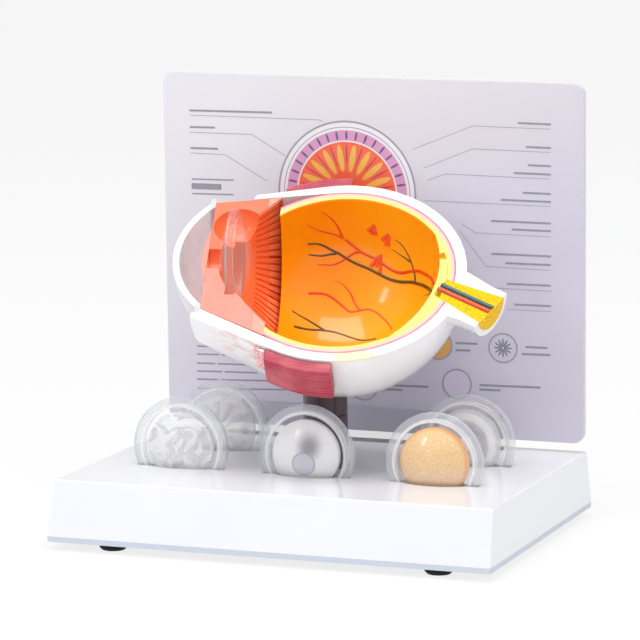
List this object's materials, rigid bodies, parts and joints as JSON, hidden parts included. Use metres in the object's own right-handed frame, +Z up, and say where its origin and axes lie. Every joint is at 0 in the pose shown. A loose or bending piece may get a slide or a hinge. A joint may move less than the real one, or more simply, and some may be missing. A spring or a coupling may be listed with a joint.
{
  "type": "eye anatomy model",
  "caption": "Sectioned eye model on a post over a white base, with a card behind it and loose example lenses standing in the base.",
  "frame": {"origin": "on the table under the middle of the base", "axes": "+X to the right seen from the front, with the cornea towards -X and the nerve towards +X; +Y to the back, where the card stands; +Z up"},
  "size_m": [0.165, 0.127, 0.1619],
  "materials": {
    "white_gloss": "glossy white moulding",
    "plate_grey": "satin",
    "steel": "satin",
    "rubber": "matt",
    "clear_plastic": "clear",
    "card_print": "printed lavender grey",
    "post_brown": "dark brown-purple",
    "sclera_white": "glossy white paint",
    "choroid_pink": "pink paint",
    "retina_orange": "orange bowl with a yellow cut edge",
    "ciliary_orange": "deep orange, grooved",
    "iris_salmon": "salmon",
    "nerve_yellow": "yellow",
    "artery_red": "red",
    "vein_blue": "teal",
    "muscle_red": "dull red",
    "tendon_pink": "pink",
    "core_clear": "clear, faintly clouded",
    "core_frost": "frosted pattern",
    "core_amber": "amber, speckled"
  },
  "bodies": {
    "base": {"base_shell": "white_gloss", "base_plate": "plate_grey", "plate_screws": "steel", "foot_front_left": "rubber", "foot_front_right": "rubber", "foot_rear_left": "rubber", "foot_rear_right": "rubber", "card_holder": "clear_plastic"},
    "card": {"card": "card_print"},
    "post": {"post": "post_brown"},
    "lens_a": {"lens_a_front": "clear_plastic", "lens_a_rear": "clear_plastic", "lens_a_core": "core_frost"},
    "lens_b": {"lens_b_front": "clear_plastic", "lens_b_rear": "clear_plastic", "lens_b_core": "core_frost"},
    "lens_c": {"lens_c_front": "clear_plastic", "lens_c_rear": "clear_plastic", "lens_c_core": "core_frost"},
    "lens_d": {"lens_d_front": "clear_plastic", "lens_d_rear": "clear_plastic", "lens_d_core": "core_amber"},
    "lens_e": {"lens_e_front": "clear_plastic", "lens_e_rear": "clear_plastic", "lens_e_core": "core_frost"},
    "eye_lens": {"eye_lens_front": "clear_plastic", "eye_lens_rear": "clear_plastic", "eye_lens_core": "core_clear"},
    "eye": {"eye_socket": "post_brown", "sclera": "sclera_white", "choroid": "choroid_pink", "retina": "retina_orange", "ciliary_body": "ciliary_orange", "iris_body": "iris_salmon", "cornea": "clear_plastic", "optic_disc": "nerve_yellow", "nerve_core": "nerve_yellow", "nerve_artery": "artery_red", "nerve_vein": "vein_blue", "near_muscle": "muscle_red", "near_tendon": "tendon_pink", "far_muscle": "muscle_red", "far_tendon": "tendon_pink"}
  },
  "joints": [
    {"name": "post_lift", "type": "slide", "parent": "base", "child": "post", "axis": [0, 0, 1], "range_m": [0, 0.02]},
    {"name": "eye_swivel", "type": "hinge", "parent": "post", "child": "eye", "pos_m": [0, 0, 0.0437], "axis": [0, 0, 1], "range_deg": [-15, 15]},
    {"name": "eye_lens_lift", "type": "slide", "parent": "eye", "child": "eye_lens", "axis": [0.1378, -0.5786, 0.8039], "range_m": [0, 0.02]},
    {"name": "card_lift", "type": "slide", "parent": "base", "child": "card", "axis": [0, -0.0349, 0.9994], "range_m": [0, 0.012]},
    {"name": "lens_a_lift", "type": "slide", "parent": "base", "child": "lens_a", "axis": [0, 0, 1], "range_m": [0, 0.014]},
    {"name": "lens_b_lift", "type": "slide", "parent": "base", "child": "lens_b", "axis": [0, 0, 1], "range_m": [0, 0.014]},
    {"name": "lens_c_lift", "type": "slide", "parent": "base", "child": "lens_c", "axis": [0, 0, 1], "range_m": [0, 0.0035]},
    {"name": "lens_d_lift", "type": "slide", "parent": "base", "child": "lens_d", "axis": [0, 0, 1], "range_m": [0, 0.014]},
    {"name": "lens_e_lift", "type": "slide", "parent": "base", "child": "lens_e", "axis": [0, 0, 1], "range_m": [0, 0.014]}
  ]
}
